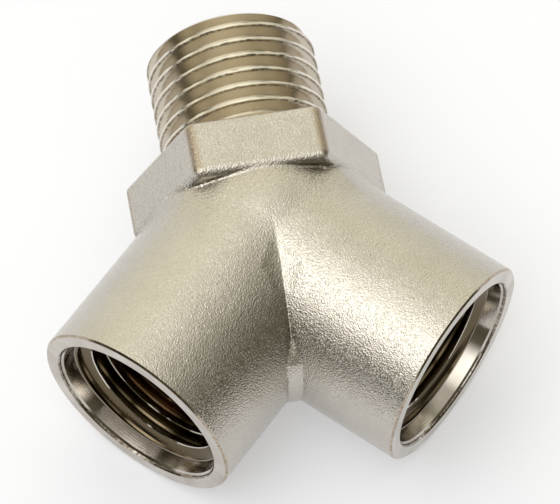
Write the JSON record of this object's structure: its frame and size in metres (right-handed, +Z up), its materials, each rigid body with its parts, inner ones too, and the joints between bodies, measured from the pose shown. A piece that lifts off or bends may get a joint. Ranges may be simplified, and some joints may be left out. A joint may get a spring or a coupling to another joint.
{
  "type": "y pipe fitting",
  "caption": "Nickel-plated brass Y fitting: one male pipe thread above a spanner hexagon splits into two threaded female ports at right angles.",
  "frame": {"origin": "centre of the hexagon's upper face on the male thread's axis, where the male thread begins", "axes": "+Y along the male thread to its tip, +Z up out of the plane of the three ways, +X to the right; the ports point down and to each side at 45 degrees from -Y"},
  "size_m": [0.0354, 0.0351, 0.017],
  "materials": {
    "machined_nickel": "turned brass under bright nickel plate, fine lathe marks",
    "forged_nickel": "forged and blasted brass skin under satin nickel plate"
  },
  "bodies": {
    "root": {"male_thread": "machined_nickel", "hex_collar": "forged_nickel", "left_port": "forged_nickel", "right_port": "forged_nickel"}
  },
  "joints": []
}
